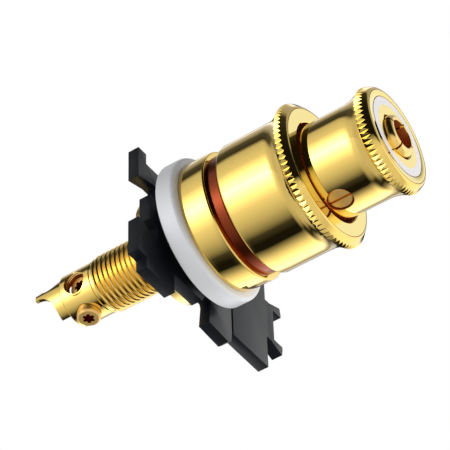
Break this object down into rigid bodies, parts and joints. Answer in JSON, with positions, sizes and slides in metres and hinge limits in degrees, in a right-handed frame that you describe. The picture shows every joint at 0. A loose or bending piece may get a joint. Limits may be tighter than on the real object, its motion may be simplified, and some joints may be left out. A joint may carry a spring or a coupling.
{
  "type": "binding post",
  "caption": "Gilt panel binding post with a knurled clamp knob, a knurled socket knob with a slit collet, a white flange ring, a black locking plate, a threaded stud and a solder tail.",
  "frame": {"origin": "centre of the white flange ring's face that bears on the panel, on the post's axis", "axes": "+Z along the post, out of the panel towards the socket; +X along the locking plate, from its fork towards its barbed tongues"},
  "size_m": [0.0328, 0.0216, 0.0552],
  "materials": {
    "gilt": "polished gold plating",
    "gilt_bright": "bright gold plating",
    "bronze": "satin bronze",
    "white_plastic": "smooth white",
    "black_plastic": "satin black"
  },
  "bodies": {
    "post": {"contact_post": "gilt", "front_insulator": "white_plastic", "banana_collet": "gilt"},
    "back_plate": {"locking_plate": "black_plastic"},
    "nut": {"ring_nut": "gilt_bright", "stud_washer": "gilt"},
    "inner_screw": {"cable_screw_inner": "gilt"},
    "proud_screw": {"cable_screw_proud": "gilt"},
    "clamp_foot": {"pressure_ring": "bronze", "retaining_clip": "gilt_bright", "slip_washer": "bronze"},
    "clamp": {"clamp_knob": "gilt"},
    "collet_closer": {"squeeze_ring": "gilt_bright"},
    "socket": {"socket_knob": "gilt", "lock_screw": "gilt", "threaded_bush": "gilt_bright", "colour_ring": "white_plastic"}
  },
  "joints": [
    {"name": "plate_slide", "type": "slide", "parent": "post", "child": "back_plate", "axis": [0, 0, -1], "range_m": [0, 0.007]},
    {"name": "nut_turn", "type": "hinge", "parent": "back_plate", "child": "nut", "pos_m": [0, 0, -0.005], "axis": [0, 0, -1], "range_deg": [0, 3350]},
    {"name": "clamp_slide", "type": "slide", "parent": "post", "child": "clamp_foot", "axis": [0, 0, 1], "range_m": [0, 0.005]},
    {"name": "clamp_turn", "type": "hinge", "parent": "clamp_foot", "child": "clamp", "pos_m": [0, 0, 0.012], "axis": [0, 0, 1], "range_deg": [0, 1795]},
    {"name": "closer_slide", "type": "slide", "parent": "post", "child": "collet_closer", "axis": [0, 0, 1], "range_m": [0, 0.0015]},
    {"name": "socket_turn", "type": "hinge", "parent": "collet_closer", "child": "socket", "pos_m": [0, 0, 0.025], "axis": [0, 0, 1], "range_deg": [0, 538]},
    {"name": "inner_screw_slide", "type": "slide", "parent": "post", "child": "inner_screw", "axis": [-0.989, -0.1478, 0], "range_m": [0, 0.0013]},
    {"name": "proud_screw_slide", "type": "slide", "parent": "post", "child": "proud_screw", "axis": [-0.0523, -0.9986, 0], "range_m": [-0.0003, 0.0008]}
  ],
  "couplings": [
    {"joint": "plate_slide", "follows": "nut_turn", "m_per_rad": 0.00011937},
    {"joint": "clamp_slide", "follows": "clamp_turn", "m_per_rad": 0.00015915},
    {"joint": "closer_slide", "follows": "socket_turn", "m_per_rad": 0.00015915}
  ]
}
